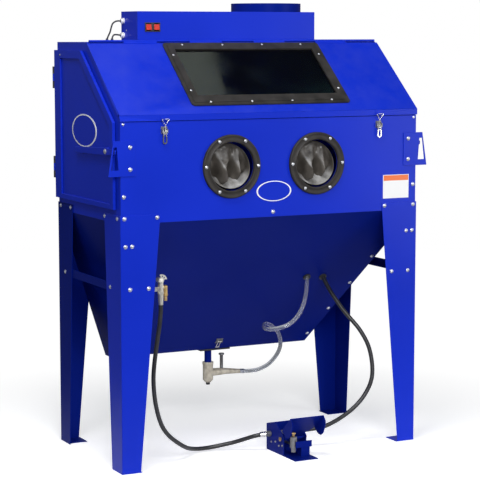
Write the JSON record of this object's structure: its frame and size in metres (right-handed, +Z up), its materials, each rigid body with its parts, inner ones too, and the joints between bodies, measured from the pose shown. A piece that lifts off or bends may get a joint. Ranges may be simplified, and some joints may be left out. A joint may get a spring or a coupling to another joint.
{
  "type": "sandblast cabinet",
  "caption": "Free-standing sandblast cabinet: sloped window lid, two glove ports, two side doors, hopper on four legs, foot valve on hoses.",
  "frame": {"origin": "on the floor, at the centre of the four feet's anchor holes", "axes": "+Z up, +X to the operator's right, the glove ports face -Y"},
  "size_m": [1.308, 0.7456, 1.676],
  "materials": {
    "blue_coat": "gloss powder coat",
    "dark_blue_coat": "gloss powder coat",
    "zinc": "zinc plated",
    "chrome": "polished",
    "galvanised": "galvanised",
    "ring_black": "satin",
    "glove_rubber": "matt rubber",
    "black_rubber": "satin rubber",
    "black_steel": "satin black",
    "brass": "worn",
    "white_plastic": "gloss",
    "ceramic": "glazed",
    "clear_hose": "clear vinyl",
    "black_hose": "satin rubber",
    "cast_aluminium": "as cast",
    "window_pane": "tinted glass",
    "switch_red": "lit red",
    "label_white": "printed"
  },
  "bodies": {
    "cabinet": {"front_panel": "blue_coat", "back_panel": "blue_coat", "top_panel": "blue_coat", "left_side_frame": "blue_coat", "right_side_frame": "blue_coat", "hopper_front": "dark_blue_coat", "hopper_body": "dark_blue_coat", "front_left_leg": "blue_coat", "front_right_leg": "blue_coat", "rear_left_leg": "blue_coat", "rear_right_leg": "blue_coat", "leg_braces": "dark_blue_coat", "domed_bolts": "zinc", "work_grate": "galvanised", "glove_rings": "ring_black", "left_glove": "glove_rubber", "right_glove": "glove_rubber", "latch_brackets": "blue_coat", "catch_bases": "chrome", "light_box": "blue_coat", "extractor_drum": "dark_blue_coat", "switch_bezel": "ring_black", "cable_glands": "white_plastic", "switch_leads": "black_rubber", "light_tube": "white_plastic", "door_hinge_posts": "black_steel", "lid_hinge_leaf": "dark_blue_coat", "air_valve": "chrome", "inlet_elbow": "brass", "hose_grommets": "black_rubber", "media_hose": "clear_hose", "supply_hose": "black_hose", "gun_hose": "black_hose", "blast_gun": "zinc", "gun_nozzle": "ceramic", "blank_plates": "label_white", "pedal_base": "blue_coat", "pedal_valve": "zinc", "media_pipe": "dark_blue_coat", "media_valve": "cast_aluminium", "air_tube": "zinc", "outlet_plate": "black_rubber"},
    "light_switch": {"light_switch": "switch_red"},
    "fan_switch": {"fan_switch": "switch_red"},
    "lid": {"lid_shell": "blue_coat", "window_frame": "black_rubber", "window_glass": "window_pane", "window_screws": "zinc"},
    "left_door": {"left_door": "blue_coat"},
    "right_door": {"right_door": "blue_coat"},
    "left_latch": {"left_latch_bar": "dark_blue_coat"},
    "right_latch": {"right_latch_bar": "dark_blue_coat"},
    "left_catch": {"left_catch_lever": "chrome"},
    "right_catch": {"right_catch_lever": "chrome"},
    "left_bail": {"left_catch_bail": "chrome"},
    "right_bail": {"right_catch_bail": "chrome"},
    "outlet_catch": {"outlet_catch_lever": "chrome"},
    "valve_lever": {"air_valve_lever": "chrome"},
    "treadle": {"pedal_treadle": "dark_blue_coat"},
    "plunger": {"pedal_plunger": "brass"}
  },
  "joints": [
    {"name": "lid_hinge", "type": "hinge", "parent": "cabinet", "child": "lid", "pos_m": [0, 0, 1.5345], "axis": [-1, 0, 0], "range_deg": [0, 80]},
    {"name": "left_door_hinge", "type": "hinge", "parent": "cabinet", "child": "left_door", "pos_m": [-0.617, 0.313, 1.2], "axis": [0, 0, -1], "range_deg": [0, 110]},
    {"name": "right_door_hinge", "type": "hinge", "parent": "cabinet", "child": "right_door", "pos_m": [0.617, 0.313, 1.2], "axis": [0, 0, 1], "range_deg": [0, 110]},
    {"name": "left_latch_pivot", "type": "hinge", "parent": "left_door", "child": "left_latch", "pos_m": [-0.6245, -0.213, 1.149], "axis": [1, 0, 0], "range_deg": [0, 60]},
    {"name": "right_latch_pivot", "type": "hinge", "parent": "right_door", "child": "right_latch", "pos_m": [0.6245, -0.213, 1.149], "axis": [1, 0, 0], "range_deg": [0, 60]},
    {"name": "left_catch_pivot", "type": "hinge", "parent": "cabinet", "child": "left_catch", "pos_m": [-0.44, -0.311, 1.221], "axis": [-1, 0, 0], "range_deg": [0, 140]},
    {"name": "right_catch_pivot", "type": "hinge", "parent": "cabinet", "child": "right_catch", "pos_m": [0.44, -0.311, 1.221], "axis": [-1, 0, 0], "range_deg": [0, 140]},
    {"name": "left_bail_pivot", "type": "hinge", "parent": "left_catch", "child": "left_bail", "pos_m": [-0.44, -0.311, 1.212], "axis": [-1, 0, 0], "range_deg": [-140, 0]},
    {"name": "right_bail_pivot", "type": "hinge", "parent": "right_catch", "child": "right_bail", "pos_m": [0.44, -0.311, 1.212], "axis": [-1, 0, 0], "range_deg": [-140, 0]},
    {"name": "light_switch_rock", "type": "hinge", "parent": "cabinet", "child": "light_switch", "pos_m": [-0.36, 0.012, 1.585], "axis": [1, 0, 0], "range_deg": [0, 16]},
    {"name": "fan_switch_rock", "type": "hinge", "parent": "cabinet", "child": "fan_switch", "pos_m": [-0.328, 0.012, 1.585], "axis": [1, 0, 0], "range_deg": [0, 16]},
    {"name": "outlet_catch_pivot", "type": "hinge", "parent": "cabinet", "child": "outlet_catch", "pos_m": [0.019, 0.19412, 0.35325], "axis": [-1, 0, 0], "range_deg": [0, 100]},
    {"name": "air_valve_turn", "type": "hinge", "parent": "cabinet", "child": "valve_lever", "pos_m": [-0.456, -0.303, 0.691], "axis": [0, 1, 0], "range_deg": [0, 90]},
    {"name": "treadle_pivot", "type": "hinge", "parent": "cabinet", "child": "treadle", "pos_m": [0.0815, -0.3, 0.062], "axis": [1, 0, 0], "range_deg": [0, 12], "stiffness_Nm_per_rad": 3, "springref_deg": -17.19},
    {"name": "plunger_slide", "type": "slide", "parent": "cabinet", "child": "plunger", "axis": [0, 0, -1], "range_m": [0, 0.012]}
  ],
  "couplings": [
    {"joint": "left_bail_pivot", "follows": "left_catch_pivot", "ratio": -1},
    {"joint": "right_bail_pivot", "follows": "right_catch_pivot", "ratio": -1},
    {"joint": "plunger_slide", "follows": "treadle_pivot", "m_per_rad": 0.052}
  ]
}
